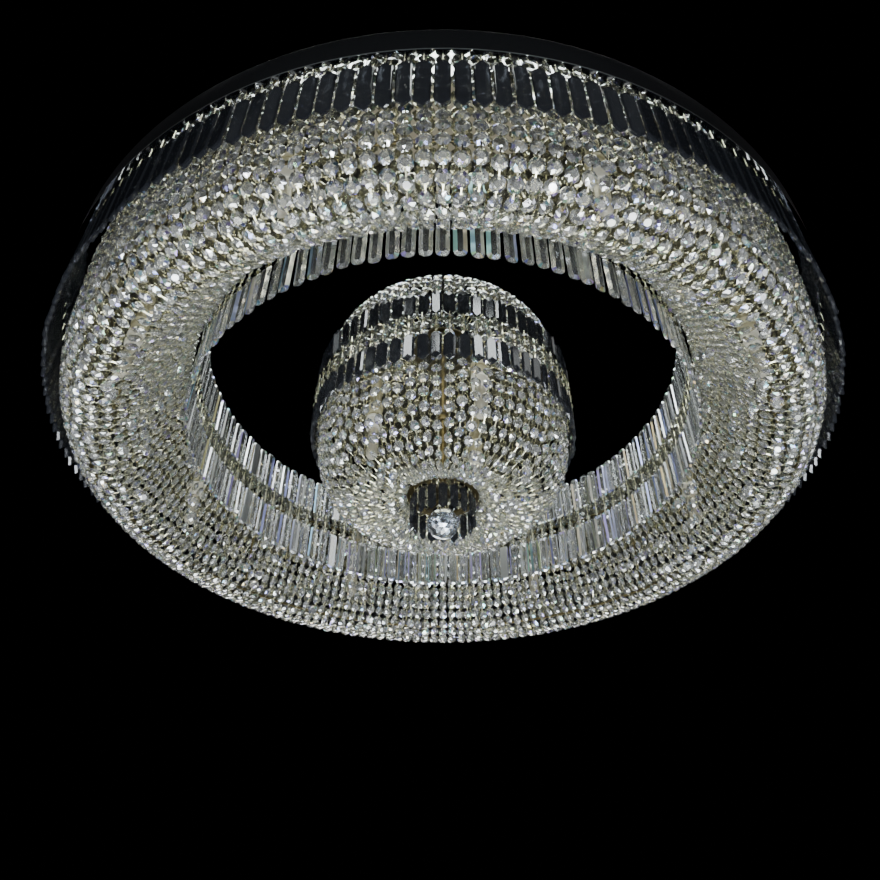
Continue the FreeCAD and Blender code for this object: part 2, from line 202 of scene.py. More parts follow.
mirrorSheet.feed(mirrorShader.inputs["Metallic"], 1.0 - mirrorLook["paintedHazeShare"] * mirrorPaintedHaze)
backGloss = mirrorLook["backGloss"] + mirrorLook["backSpread"] * mirrorSpots
mirrorGloss = mirrorLook["gloss"] + mirrorLook["glossSpread"] * mirrorSpots + mirrorBack * backGloss
mirrorSheet.feed(mirrorShader.inputs["Roughness"], mirrorGloss)
mirrorTone = blend(mirrorSheet, mirrorSpots, mirrorLook["steel"], mirrorLook["worn"])
mirrorSheet.feed(mirrorShader.inputs["Base Color"], blend(mirrorSheet, mirrorPaintedHaze, mirrorTone, mirrorLook["paintedHaze"]))

plainSteel = metalFinish("plain_steel", (0.55, 0.56, 0.57), (0.45, 0.45, 0.46), low=0.28, high=0.45, scale=140.0)
# painted shade: this brass is darkened to the tone of the shaded inside, partly its own brown tone and partly painted
# shade
darkenedBrass = metalFinish("aged_brass", (0.16, 0.13, 0.06), (0.09, 0.07, 0.035), low=0.25, high=0.4, scale=220.0)
goldBrass = metalFinish("gold_brass", (0.9, 0.87, 0.65), (0.75, 0.71, 0.47), low=0.18, high=0.36, scale=320.0)
smokedGlass = glassFinish("smoked_glass", (0.042, 0.045, 0.055), False, low=0.06, high=0.11, haze=0.3, ior=1.43)
clearGlass = glassFinish("clear_glass", (0.93, 0.94, 0.95), True, low=0.005, high=0.02, haze=0.05, ior=1.45, blur=0.3)
rowGlass = glassFinish("row_glass", (0.9, 0.88, 0.8), True, low=0.005, high=0.02, haze=0.16, ior=1.3)
beadGlass = glassFinish("bead_glass", (0.95, 0.95, 0.95), True, low=0.005, high=0.02, haze=0.16)

blackRubber, rubberShader, rubberSheet = finish("grommet_rubber", (0.018, 0.018, 0.018), Roughness=0.7)
bumpFrom(rubberSheet, rubberShader, grain(rubberSheet, 700.0), distance=0.0003, strength=0.3)
blockPlastic, plasticShader, plasticSheet = finish("block_plastic", (0.72, 0.71, 0.67), Roughness=0.45)
bumpFrom(plasticSheet, plasticShader, grain(plasticSheet, 500.0), distance=0.0003, strength=0.2)
holderCeramic, ceramicShader, ceramicSheet = finish("holder_ceramic", (0.8, 0.77, 0.68), Roughness=0.4)
ceramicSheet.feed(ceramicShader.inputs["Roughness"], 0.3 + 0.25 * grain(ceramicSheet, 260.0))
bulbGlass, bulbShader, bulbSheet = finish("bulb_glass", (0.95, 0.92, 0.84), Roughness=0.08, Transmission_Weight=0.6)
bulbTone = blend(bulbSheet, grain(bulbSheet, 40.0), (0.95, 0.92, 0.82), (0.8, 0.74, 0.58))
bulbSheet.feed(bulbShader.inputs["Base Color"], bulbTone)
print("finishes made")


def link(piece):
    scene.collection.objects.link(piece)
    return piece


def meshFrom(name, points, faces, material=None):
    mesh = bpy.data.meshes.new(name)
    mesh.from_pydata(points, [], faces)
    work = bmesh.new()
    work.from_mesh(mesh)
    bmesh.ops.recalc_face_normals(work, faces=work.faces)
    work.to_mesh(mesh)
    work.free()
    if material:
        mesh.materials.append(material)
    return mesh


# a shape to be copied, in millimetres
def template(name, points, faces, kinds=None):
    mesh = meshFrom(name, [[part * mm for part in point] for point in points], faces)
    if kinds:  # 0 table, 1 facet, 2 back of the stone
        mesh.attributes.new("kind", "FLOAT", "FACE").data.foreach_set("value", kinds)
    return link(bpy.data.objects.new(name, mesh))


def settle(piece, body, slotName, *nodes):
    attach(piece, body)
    if nodes:
        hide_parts(*nodes)


def turned(name, outline, material, steps=96, smooth=40):
    points, faces = [], []
    for step in range(steps):
        turn = math.tau * step / steps
        points += [(r * mm * math.cos(turn), r * mm * math.sin(turn), z * mm) for r, z in outline]
    size = len(outline)
    for step in range(steps):
        for here in range(size):
            near, far = step * size, (step + 1) % steps * size
            after = (here + 1) % size
            faces.append((near + here, far + here, far + after, near + after))
    mesh = meshFrom(name, points, faces, material)
    work = bmesh.new()
    work.from_mesh(mesh)
    bmesh.ops.remove_doubles(work, verts=work.verts, dist=1e-6)
    bmesh.ops.dissolve_degenerate(work, edges=work.edges, dist=1e-7)
    bmesh.ops.recalc_face_normals(work, faces=work.faces)
    work.to_mesh(mesh)
    work.free()
    mesh.shade_smooth()
    mesh.set_sharp_from_angle(angle=math.radians(smooth))
    return link(bpy.data.objects.new(name, mesh))


def joined(name, pieces, material):
    work = bmesh.new()
    for piece in pieces:
        work.from_mesh(piece.data)
        bpy.data.objects.remove(piece)
    mesh = bpy.data.meshes.new(name)
    work.to_mesh(mesh)
    work.free()
    mesh.materials.append(material)
    return link(bpy.data.objects.new(name, mesh))


def block(name, low, high, edge, turn=0.0):
    work = bmesh.new()
    bmesh.ops.create_cube(work, size=1.0)
    for corner in work.verts:
        corner.co = [(a + (b - a) * (part + 0.5)) * mm for a, b, part in zip(low, high, corner.co)]
    bmesh.ops.bevel(work, geom=work.edges[:], offset=edge * mm, segments=2, profile=0.5, affect="EDGES")
    bmesh.ops.rotate(work, cent=(0, 0, 0), matrix=Matrix.Rotation(turn, 3, "Z"), verts=work.verts)
    mesh = bpy.data.meshes.new(name)
    work.to_mesh(mesh)
    work.free()
    mesh.shade_smooth()
    mesh.set_sharp_from_angle(angle=math.radians(50))
    return link(bpy.data.objects.new(name, mesh))


# round wire bent to a ring about the X or the Y axis
def wireRing(name, z, radius, wire, axis, steps=40, sides=12):
    points, faces = [], []
    for step in range(steps):
        turn = math.tau * step / steps
        for side in range(sides):
            lift = math.tau * side / sides
            out, across = radius + wire * math.cos(lift), wire * math.sin(lift)
            flat = (out * math.cos(turn), out * math.sin(turn))
            point = (across, flat[0], flat[1]) if axis == "X" else (flat[0], across, flat[1])
            points.append((point[0] * mm, point[1] * mm, (point[2] + z) * mm))
            near, far, after = step * sides, (step + 1) % steps * sides, (side + 1) % sides
            faces.append((near + side, far + side, far + after, near + after))
    mesh = meshFrom(name, points, faces)
    mesh.shade_smooth()
    return link(bpy.data.objects.new(name, mesh))


# copy of a CAD node with its facets merged and its edges broken
def softened(name, node, edge, material):
    work = bmesh.new()
    work.from_mesh(frame["nodes"][node].data)
    bmesh.ops.remove_doubles(work, verts=work.verts, dist=1e-6)
    bmesh.ops.dissolve_limit(work, angle_limit=math.radians(1), verts=work.verts, edges=work.edges)
    sharp = [item for item in work.edges
             if len(item.link_faces) == 2 and item.calc_face_angle() > math.radians(40)]
    bmesh.ops.bevel(work, geom=sharp, offset=edge * mm, segments=2, profile=0.5, affect="EDGES")
    bmesh.ops.recalc_face_normals(work, faces=work.faces)
    mesh = bpy.data.meshes.new(name)
    work.to_mesh(mesh)
    work.free()
    mesh.materials.append(material)
    return link(bpy.data.objects.new(name, mesh))


def insetCorner(before, here, after, share):
    here, before, after = Vector(here), Vector(before), Vector(after)
    one, two = (here - before).normalized(), (after - here).normalized()
    sideOne, sideTwo = Vector((-one.y, one.x)), Vector((-two.y, two.x))
    middle = sideOne + sideTwo
    return tuple(here + middle * (share / max(0.2, middle.dot(sideOne))))


# a cut crystal: its rim, an inset table in front and one at the back
def cutCrystal(rim, cut):
    count, shift = len(rim), cut["shift"]
    points = [(shift, y, z) for y, z in rim]
    for depth, share in ((cut["front"], cut["inset"]), (cut["back"], cut.get("backInset", cut["inset"]))):
        for index, corner in enumerate(rim):
            before, after = rim[index - 1], rim[(index + 1) % count]
            points.append((shift + depth, *insetCorner(before, corner, after, share)))
    faces = [tuple(range(count, 2 * count)), tuple(range(2 * count, 3 * count))]
    for index in range(count):
        after = (index + 1) % count
        for level in (count, 2 * count):
            faces.append((index, after, level + after, level + index))
    return points, faces, [0.0, 0.0] + [1.0] * (2 * count)


def newTree(name, sockets):
    tree = bpy.data.node_groups.new(name, "GeometryNodeTree")
    for label, kind in sockets.items():
        tree.interface.new_socket(label, in_out="INPUT", socket_type="NodeSocket" + kind)
    tree.interface.new_socket("Geometry", in_out="OUTPUT", socket_type="NodeSocketGeometry")
    group = tree.nodes.new("NodeGroupInput")
    ends = {socket.name: Wire(tree, socket) for socket in group.outputs if socket.name}
    return tree, Wire(tree), ends


# a number for each element, or for each owner, the same on every run
def drawn(sheet, seed, low=0.0, owner=None):
    sockets = {2: low, 3: 1.0, 8: seed}
    if owner:
        sockets[7] = owner
    return sheet.node("FunctionNodeRandomValue", {"data_type": "FLOAT"}, sockets, 1)


def drawnVector(sheet, seed):
    return sheet.node("FunctionNodeRandomValue", {"data_type": "FLOAT_VECTOR"},
                      {0: (-1, -1, -1), 1: (1, 1, 1), 8: seed}, 0)


def stored(sheet, name):
    return sheet.node("GeometryNodeInputNamedAttribute", {"data_type": "FLOAT"}, {"Name": name})


def store(sheet, geometry, name, value, kind="FLOAT", domain="FACE"):
    return sheet.node("GeometryNodeStoreNamedAttribute", {"data_type": kind, "domain": domain},
                      {"Geometry": geometry, "Name": name, "Value": value})


def shapeOf(sheet, holder):
    return sheet.node("GeometryNodeObjectInfo", None, {"Object": holder}, "Geometry")


facetTones = {"first": (0.92, 0.92, 1.0, 1), "bright": (0.98, 0.99, 0.96, 1), "clear": (0.96, 0.96, 0.95, 1),
              "inside": (0.66, 0.66, 0.55),  # painted view: the backs are tinted with the olive of the inside they look into
              "brightAt": 0.15, "clearFrom": 0.78, "clearTo": 0.99, "ownShade": 0.55, "shineSpread": 0.35,
              "shineSeed": 50, "ownSeed": 90}
# painted dispersion: the rainbow tints that a few facets get stand in for the fire of cut glass
spectrum = [(0.82, (0.4, 0.46, 0.98, 1)), (0.86, (0.6, 0.42, 0.95, 1)), (0.9, (0.4, 0.8, 0.98, 1)),
            (0.93, (0.6, 0.95, 0.6, 1)), (0.96, (0.98, 0.76, 0.4, 1))]


# most facets stay clear, a few get a painted spectral colour standing in for the fire of the glass, and the backs get
# a painted olive view of the inside
def tintFacets(sheet, solid, seed, look):
    kind = stored(sheet, "kind")
    facet = sheet.maths("MINIMUM", kind, 1.0)
    back = sheet.maths("MAXIMUM", kind - 1.0, 0.0)
    chance = drawn(sheet, seed)
    clearFrom, clear = facetTones["clearFrom"], facetTones["clear"]
    stops = [(0.0, facetTones["first"]), (facetTones["brightAt"], facetTones["bright"]), *look["greys"],
             (clearFrom, clear), *spectrum, (facetTones["clearTo"], clear)]
    reach = chance * (clearFrom + (1 - clearFrom) * facet)  # tables get no spectral colour
    tone = sheet.node("ShaderNodeValToRGB", {"stops": stops}, {"Fac": reach}, "Color")
    shade = look["leastShade"] + stored(sheet, "own") * facetTones["ownShade"]
    tone = blend(sheet, shade, tone, look["shade"], "MULTIPLY")
    # painted view of the olive inside on the backs of the stones
    tint = blend(sheet, back, tone, facetTones["inside"])
    coloured = store(sheet, solid, "tint", tint, "FLOAT_COLOR")
    share = look["tables"] + facet * (look["facets"] - look["tables"]) - back
    lit = sheet.maths("LESS_THAN", drawn(sheet, seed + facetTones["shineSeed"]), share)
    return store(sheet, coloured, "shine", lit * (look["leastShine"] + facetTones["shineSpread"] * chance))


def closeTree(tree, sheet, copies, ends, look):
    if look:  # each copy keeps a brightness of its own
        own = drawn(sheet, ends["Seed"] + facetTones["ownSeed"])
        copies = store(sheet, copies, "own", own, domain="INSTANCE")
    solid = sheet.node("GeometryNodeRealizeInstances", None, {"Geometry": copies})
    if look:
        solid = tintFacets(sheet, solid, ends["Seed"], look)
    painted = sheet.node("GeometryNodeSetMaterial", None, {"Geometry": solid, "Material": ends["Material"]})
    output = tree.nodes.new("NodeGroupOutput")
    tree.links.new(painted.socket, output.inputs[0])


def eulerTurn(sheet, euler):
    return sheet.node("FunctionNodeEulerToRotation", None, {"Euler": euler})


def spin(sheet, angle):
    return eulerTurn(sheet, sheet.node("ShaderNodeCombineXYZ", None, {"Z": angle}))


def rotated(sheet, rotation, more, space):
    return sheet.node("FunctionNodeRotateRotation", {"rotation_space": space},
                      {"Rotation": rotation, "Rotate By": more})


# copies of one shape hung on a circle, each swayed a little about its hook
def circleTree(look):
    sockets = {"Shape": "Object", "Count": "Int", "Radius": "Float", "Height": "Float", "Start": "Float",
               "Sway": "Vector", "Seed": "Int", "Material": "Material"}
    tree, sheet, ends = newTree("circle_of_copies", sockets)
    hooks = sheet.node("GeometryNodePoints", None, {"Count": ends["Count"]})
    index = sheet.node("GeometryNodeInputIndex")
    turn = ends["Start"] + index * math.tau / ends["Count"]
    place = sheet.node("ShaderNodeCombineXYZ", None,
                       {"X": ends["Radius"] * sheet.maths("COSINE", turn),
                        "Y": ends["Radius"] * sheet.maths("SINE", turn), "Z": ends["Height"]})
    hooks = sheet.node("GeometryNodeSetPosition", None, {"Geometry": hooks, "Position": place})
    sway = vectorMaths(sheet, "MULTIPLY", drawnVector(sheet, ends["Seed"]), ends["Sway"])
    facing = rotated(sheet, spin(sheet, turn), eulerTurn(sheet, sway), "LOCAL")
    copies = sheet.node("GeometryNodeInstanceOnPoints", None,
                        {"Points": hooks, "Instance": shapeOf(sheet, ends["Shape"]), "Rotation": facing})
    closeTree(tree, sheet, copies, ends, look)
    return tree


# how chains crowd: beads lean over where the room is short, to one side on each half of the light
chainRule = {"from": 0.024, "to": 0.972, "roomShare": 1.5, "roomLost": 8.6, "leastCrowd": 0.25,
             "halfBlend": 6.0, "oneSided": 0.85, "tiltShare": 0.8, "strandSeed": 40}


# shapes threaded on chains that follow one profile, repeated round the axis
def chainTree(look):
    sockets = {"Shape": "Object", "Profile": "Object", "Strands": "Int", "Beads": "Int", "First": "Float",
               "Width": "Float", "Least Room": "Float", "Loose": "Float", "Stagger": "Float", "Seed": "Int",
               "Material": "Material"}
    tree, sheet, ends = newTree("threaded_chains", sockets)
    beads = sheet.node("GeometryNodePoints", None, {"Count": ends["Strands"] * ends["Beads"]})
    index = sheet.node("GeometryNodeInputIndex")
    strand = sheet.maths("FLOOR", (index + 0.001) / ends["Beads"])
    shuffle = drawn(sheet, chainRule["strandSeed"], -1.0, strand)
    step = index - strand * ends["Beads"] + ends["First"] + shuffle * ends["Stagger"]
    along = clamped(sheet, step / ends["Beads"], chainRule["from"], chainRule["to"])
    sample = {"Curves": shapeOf(sheet, ends["Profile"]), "Factor": along}
    point = sheet.node("GeometryNodeSampleCurve", {"mode": "FACTOR"}, sample, "Position")
    tangent = sheet.node("GeometryNodeSampleCurve", {"mode": "FACTOR"}, sample, "Tangent")
    outward = vectorMaths(sheet, "CROSS_PRODUCT", tangent, (0, 1, 0))
    turn = strand * math.tau / ends["Strands"]
    place = sheet.node("ShaderNodeVectorRotate", {"rotation_type": "Z_AXIS"}, {"Vector": point, "Angle": turn})
    room = axisOf(sheet, point, "X") * math.tau / ends["Strands"]
    spare = (room * chainRule["roomShare"] - chainRule["roomLost"] * mm) / ends["Width"]
    lean = sheet.maths("ARCCOSINE", clamped(sheet, spare, chainRule["leastCrowd"], 1.0))
    chance = drawnVector(sheet, ends["Seed"])
    half = clamped(sheet, axisOf(sheet, place, "X") * chainRule["halfBlend"], -1.0, 1.0)
    side = sheet.maths("SIGN", axisOf(sheet, chance, "Z") - chainRule["oneSided"] * half)
    roll = sheet.node("ShaderNodeCombineXYZ", None,
                      {"X": side * lean + axisOf(sheet, chance, "X") * ends["Loose"],
                       "Y": axisOf(sheet, chance, "Y") * ends["Loose"] * chainRule["tiltShare"]})
    base = sheet.node("FunctionNodeAxesToRotation", {"primary_axis": "X", "secondary_axis": "Z"},
                      {"Primary Axis": tangent, "Secondary Axis": outward})
    facing = rotated(sheet, base, spin(sheet, turn), "GLOBAL")
    facing = rotated(sheet, facing, eulerTurn(sheet, roll), "LOCAL")
    beads = sheet.node("GeometryNodeSetPosition", None, {"Geometry": beads, "Position": place})
    even = sheet.maths("LESS_THAN", sheet.maths("MODULO", strand, 2.0), 0.5)
    kept = sheet.maths("MAXIMUM", even, sheet.maths("GREATER_THAN", room, ends["Least Room"]))
    copies = sheet.node("GeometryNodeInstanceOnPoints", None,
                        {"Points": beads, "Selection": kept, "Instance": shapeOf(sheet, ends["Shape"]),
                         "Rotation": facing})
    closeTree(tree, sheet, copies, ends, look)
    return tree


# runs a tree and keeps its result as a plain mesh
def grown(name, tree, values):
    holder = link(bpy.data.objects.new(name + "_holder", bpy.data.meshes.new(name + "_holder")))
    modifier = holder.modifiers.new("growth", "NODES")
    modifier.node_group = tree
    for socket in tree.interface.items_tree:
        if socket.in_out == "INPUT":
            modifier[socket.identifier] = values[socket.name]
    graph = bpy.context.evaluated_depsgraph_get()
    mesh = bpy.data.meshes.new_from_object(holder.evaluated_get(graph), preserve_all_data_layers=True,
                                           depsgraph=graph)
    mesh.name = name
    bpy.data.objects.remove(holder)
    print(name, len(mesh.polygons))
    return link(bpy.data.objects.new(name, mesh))


# share of tables and of facets that throw the light back, the greys among them, and how dark a stone may be
rowLook = {"tables": 0.1, "facets": 0.3, "leastShine": 0.3, "leastShade": 0.4, "shade": (0.4, 0.37, 0.22),
           "greys": [(0.35, (0.5, 0.5, 0.46, 1)), (0.6, (0.34, 0.34, 0.28, 1)), (0.75, (0.6, 0.58, 0.46, 1))]}
beadLook = {"tables": 0.42, "facets": 0.66, "leastShine": 0.36, "leastShade": 0.0, "shade": (0.5, 0.5, 0.52),
            "greys": [(0.35, (0.85, 0.85, 0.9, 1)), (0.6, (0.55, 0.55, 0.52, 1)), (0.72, (0.95, 0.95, 0.88, 1))]}
prismLook = {"tables": 0.1, "facets": 1.0, "leastShine": 0.62, "leastShade": 0.0, "shade": (0.5, 0.5, 0.52),
             "greys": [(0.35, (0.9, 0.91, 0.92, 1)), (0.6, (0.75, 0.76, 0.78, 1)), (0.75, (0.95, 0.95, 0.92, 1))]}
plainCircle, tintedCircle, clearCircle = circleTree(None), circleTree(rowLook), circleTree(prismLook)
plainChain, tintedChain = chainTree(None), chainTree(beadLook)


def hung(name, shape, layout, material, tree, seed=1):
    return grown(name, tree, {"Shape": shape, "Count": layout["count"], "Radius": layout["radius"] * mm,
                              "Height": mirrorAt - layout["drop"] * mm,
                              "Start": math.radians(layout.get("start", 0)),
                              "Sway": [math.radians(part) for part in layout.get("sway", (0, 0, 0))],
                              "Seed": seed, "Material": material})


def threaded(name, shape, profile, layout, first, material, tree, seed):
    return grown(name, tree, {"Shape": shape, "Profile": profile, "Strands": layout["strands"],
                              "Beads": layout["beads"], "First": first, "Width": layout["width"] * mm,
                              "Least Room": layout["leastRoom"] * mm, "Loose": math.radians(layout["loose"]),
                              "Stagger": layout["stagger"], "Seed": seed, "Material": material})


# route: distance from the axis and drop below the plate
def profileCurve(name, route):
    curve = bpy.data.curves.new(name, "CURVE")
    curve.dimensions = "3D"
    spline = curve.splines.new("BEZIER")
    spline.bezier_points.add(len(route) - 1)
    for knot, (r, drop) in zip(spline.bezier_points, route):
        knot.co = (r * mm, 0, mirrorAt - drop * mm)
        knot.handle_left_type = "AUTO"
        knot.handle_right_type = "AUTO"
    curve.resolution_u = 24
    return link(bpy.data.objects.new(name, curve))


panSizes = {"radius": 500, "sheet": 1.5, "wall": 38, "lip": 1.2, "lipIn": 0.4}
panOuter, panInner = panSizes["radius"], panSizes["radius"] - panSizes["sheet"]
rimOutline = [(panOuter, -panSizes["wall"]), (panOuter, -panSizes["lip"]), (panOuter - panSizes["lipIn"], 0),
              (panInner + panSizes["lipIn"], 0), (panInner, -panSizes["lip"]), (panInner, -panSizes["wall"])]
settle(turned("rim_band", rimOutline, panPaint, steps=180), "fixture", "pan_paint", "rim_wall")
plate = frame["nodes"]["mirror_plate"]
plate.data.materials.clear()
plate.data.materials.append(mirrorSteel)
print("pan made")

skirtCut = {"seed": 3, "count": 180, "radius": 495, "drop": 6, "sway": (0.8, 0.8, 2.5), "length": 78, "width": 15,
            "point": 8.5, "inset": 1.4, "front": 1.6, "back": -3.0, "shift": -2.0}
skirtPin = {"count": 180, "radius": 493, "drop": 0, "length": 10.5, "thick": 0.55}


def pointedRim(cut):
    half, length, point = cut["width"] / 2, cut["length"], cut["point"]
    return [(0, 0), (-half, -point), (-half, point - length), (0, -length), (half, point - length), (half, -point)]


def wireHook(pin, sides=5):
    points, faces = [], []
    for z in (0.0, -pin["length"]):
        turns = [math.tau * side / sides for side in range(sides)]
        points += [(pin["thick"] * math.cos(turn), pin["thick"] * math.sin(turn), z) for turn in turns]
    for side in range(sides):
        after = (side + 1) % sides
        faces.append((side, after, sides + after, sides + side))
    faces += [tuple(range(sides)), tuple(range(sides, 2 * sides))]
    return points, faces


skirtShape = template("skirt_shape", *cutCrystal(pointedRim(skirtCut), skirtCut))
skirtCrystals = hung("skirt_crystals", skirtShape, skirtCut, smokedGlass, plainCircle, skirtCut["seed"])
settle(skirtCrystals, "fixture", "smoked_glass", "skirt_prisms")
skirtHook = template("skirt_hook", *wireHook(skirtPin))
settle(hung("skirt_hooks", skirtHook, skirtPin, goldBrass, plainCircle), "fixture", "gold_brass", "skirt_pins")
print("skirt made")

beadCuts = {"ring": {"across": 14.5, "table": 7.2, "depth": 3.3},
            "bowl": {"across": 12.6, "table": 6.3, "depth": 3.1},
            "row": {"across": 8.5, "table": 4.2, "depth": 2.4, "upright": True}}
tieCuts = {"ring": {"length": 10.5, "wide": 1.3, "narrow": 0.55, "thick": 0.4, "lift": 1.4},
           "bowl": {"length": 8.6, "wide": 1.0, "narrow": 0.45, "thick": 0.35, "lift": 1.2}}
rowPin = {"length": 19, "thick": 0.8}


def octagonBead(across, table, depth, upright=False):
    girdle = across / 2 / math.cos(math.pi / 8)
    rings = [(girdle, 0.5, 0), (0.34 * across + 0.1 * table, 1.0, 0.6 * depth), (table / 2, 0.5, depth),
             (0.3 * across, 0.5, -depth)]  # girdle, crown, table and back: radius, turn, height
    points = []
    for radius, shift, z in rings:
        for step in range(8):
            turn = (step + shift) * math.pi / 4
            points.append((radius * math.cos(turn), radius * math.sin(turn), z))
    faces = [tuple(range(16, 24)), tuple(range(24, 32))]
    for step in range(8):
        after = (step + 1) % 8
        faces.append((step, after, 8 + step))
        faces.append((8 + step, 16 + after, 16 + step))
        faces.append((after, 8 + after, 16 + after, 8 + step))
        faces.append((step, after, 24 + after, 24 + step))
    if upright:  # hangs in the wall: chain along z, face along x
        points = [(z, y, x) for x, y, z in points]
    return points, faces, [0.0, 2.0] + [1.0, 1.0, 1.0, 2.0] * 8


def bowTie(length, wide, narrow, thick, lift):
    points = []
    for x, half in ((-length / 2, wide), (0, narrow), (length / 2, wide)):
        points += [(x, half, lift + thick), (x, -half, lift + thick), (x, -half, lift - thick),
                   (x, half, lift - thick)]
    faces = [(0, 1, 2, 3), (8, 9, 10, 11)]
    for section in (0, 4):
        for side in range(4):
            after = (side + 1) % 4
            faces.append((section + side, section + after, section + 4 + after, section + 4 + side))
    return points, faces


ringBead = template("octagon_bead", *octagonBead(**beadCuts["ring"]))
bowlBead = template("bowl_bead", *octagonBead(**beadCuts["bowl"]))
smallBead = template("small_bead", *octagonBead(**beadCuts["row"]))
rowHook = template("row_hook", *wireHook(rowPin))
ringTie = template("bow_tie", *bowTie(**tieCuts["ring"]))
bowlTie = template("bowl_bow_tie", *bowTie(**tieCuts["bowl"]))


# beads and the gold links between them
def drapedChains(label, layout, bead, tie, node):
    profile = profileCurve(label + "_profile", layout["route"])
    beads = threaded(label + "_beads", bead, profile, layout, layout["firstBead"], beadGlass, tintedChain,
                     layout["beadSeed"])
    settle(beads, "fixture", "bead_glass", node)
    links = threaded(label + "_links", tie, profile, layout, layout["firstLink"], goldBrass, plainChain,
                     layout["linkSeed"])
    settle(links, "fixture", "gold_brass")


# small beads above the prisms, and the pins that both hang on
def hangerRow(label, row):
    beads = hung(label + "_bead_row", smallBead, row, rowGlass, tintedCircle, row["beadSeed"])
    settle(beads, "fixture", "bead_glass", label + "_beads")
    hooks = hung(label + "_hooks", rowHook, {**row, "drop": 0}, goldBrass, plainCircle, row["hookSeed"])
    settle(hooks, "fixture", "gold_brass")


ringChains = {"strands": 180, "beads": 18, "width": 14.5, "leastRoom": 1, "loose": 9, "stagger": 0.22,
              "firstBead": 0.5, "firstLink": 0.02, "beadSeed": 11, "linkSeed": 12,
              "route": [(474, 1), (471.5, 50), (467, 94), (453, 117), (432, 126), (410, 123), (393, 110),
                        (371, 66), (339, 1)]}
drapedChains("ring", ringChains, ringBead, ringTie, "ring_chains")
print("ring chains made")

innerCut = {"seed": 21, "count": 120, "radius": 331.5, "drop": 14, "sway": (1.5, 1.2, 11.0), "length": 62,
            "width": 14.6, "corner": 4.8, "shoulder": 2.5, "inset": 1.7, "backInset": 4.4, "front": -2.2,
            "back": 2.2, "shift": 0.5}


def blockRim(cut):
    half, length, corner, shoulder = cut["width"] / 2, cut["length"], cut["corner"], cut["shoulder"]
    left = [(-half + shoulder, 0), (-half, -shoulder), (-half, 1.3 * corner - length),
            (0.3 * corner - half, 0.4 * corner - length), (corner - half, -length)]  # two short sides at the corner
    return left + [(-y, z) for y, z in reversed(left)]


innerShape = template("inner_shape", *cutCrystal(blockRim(innerCut), innerCut))
innerCrystals = hung("inner_crystals", innerShape, innerCut, clearGlass, clearCircle, innerCut["seed"])
settle(innerCrystals, "fixture", "clear_glass", "inner_prisms")
innerRow = {"count": 120, "radius": 331, "drop": 8, "sway": (3, 3, 10), "beadSeed": 22, "hookSeed": 23}
hangerRow("inner", innerRow)
print("inner wall made")

centreCut = {"seed": 31, "count": 66, "radius": 177, "drop": 15.5, "sway": (1.5, 1.5, 15.0), "length": 45,
             "width": 14.5, "point": 7, "inset": 3.0, "front": 2.0, "back": -3.4, "shift": -2.0}
centreTable = {"half": 4.8, "top": 1, "shoulder": 6.5, "foot": 6, "notch": 10.5}  # from the stone's two ends
centrePoints, centreFaces, centreKinds = cutCrystal(pointedRim(centreCut), centreCut)
tableHalf, tableShoulder = centreTable["half"], -centreTable["shoulder"]
tableFoot, tableNotch = [centreTable[part] - centreCut["length"] for part in ("foot", "notch")]
tableOutline = [(0, -centreTable["top"]), (-tableHalf, tableShoulder), (-tableHalf, tableFoot), (0, tableNotch),
                (tableHalf, tableFoot), (tableHalf, tableShoulder)]
centrePoints[6:12] = [(0.0, y, z) for y, z in tableOutline]  # the front table ends in a notch
centreShape = template("centre_shape", centrePoints, centreFaces, centreKinds)
centreCrystals = hung("centre_crystals", centreShape, centreCut, smokedGlass, plainCircle, centreCut["seed"])
settle(centreCrystals, "fixture", "smoked_glass", "centre_prisms")
centreRow = {"count": 66, "radius": 176, "drop": 8, "sway": (3, 3, 10), "beadSeed": 32, "hookSeed": 36}
hangerRow("centre", centreRow)
bowlChains = {"strands": 66, "beads": 13, "width": 12.6, "leastRoom": 4.2, "loose": 10, "stagger": 0.45,
              "firstBead": 0.5, "firstLink": 0.02, "beadSeed": 33, "linkSeed": 34,
              "route": [(166, 1), (164, 45), (160, 90), (149, 118), (128, 139), (108, 148), (88, 151), (66, 146),
                        (47, 133)]}
drapedChains("bowl", bowlChains, bowlBead, bowlTie, "bowl_chains")
shortCut = {"seed": 35, "count": 18, "radius": 42, "drop": 138, "start": 10, "sway": (1, 1, 5), "length": 41,
            "width": 11, "point": 6, "inset": 2.4, "front": 1.4, "back": -2.2, "shift": -1.4}
shortShape = template("short_shape", *cutCrystal(pointedRim(shortCut), shortCut))
shortCrystals = hung("short_crystals", shortShape, shortCut, smokedGlass, plainCircle, shortCut["seed"])
settle(shortCrystals, "fixture", "smoked_glass", "short_prisms")
print("centre made")

ballCut = {"radius": 20, "z": -215.3, "cuts": 3, "seed": 7, "shines": (0.95, 0.7, 0.45, 0.1),
           "tints": ((0.95, 0.97, 1.0, 1), (0.75, 0.84, 0.95, 1), (0.6, 0.64, 0.7, 1))}
ballMesh = bpy.data.meshes.new("faceted_ball")
work = bmesh.new()
bmesh.ops.create_icosphere(work, subdivisions=ballCut["cuts"], radius=ballCut["radius"] * mm,
                           matrix=Matrix.Translation((0, 0, ballCut["z"] * mm)))
work.to_mesh(ballMesh)
work.free()
ballMesh.materials.append(glassFinish("ball_glass", (0.97, 0.98, 1.0), True, low=0.0, high=0.01, haze=0.1))
ballMesh.attributes.new("tint", "FLOAT_COLOR", "FACE")
ballMesh.attributes.new("shine", "FLOAT", "FACE")
dice = random.Random(ballCut["seed"])
for tint, shine in zip(ballMesh.attributes["tint"].data, ballMesh.attributes["shine"].data):
    tint.color = dice.choice(ballCut["tints"])
    shine.value = dice.choice(ballCut["shines"])
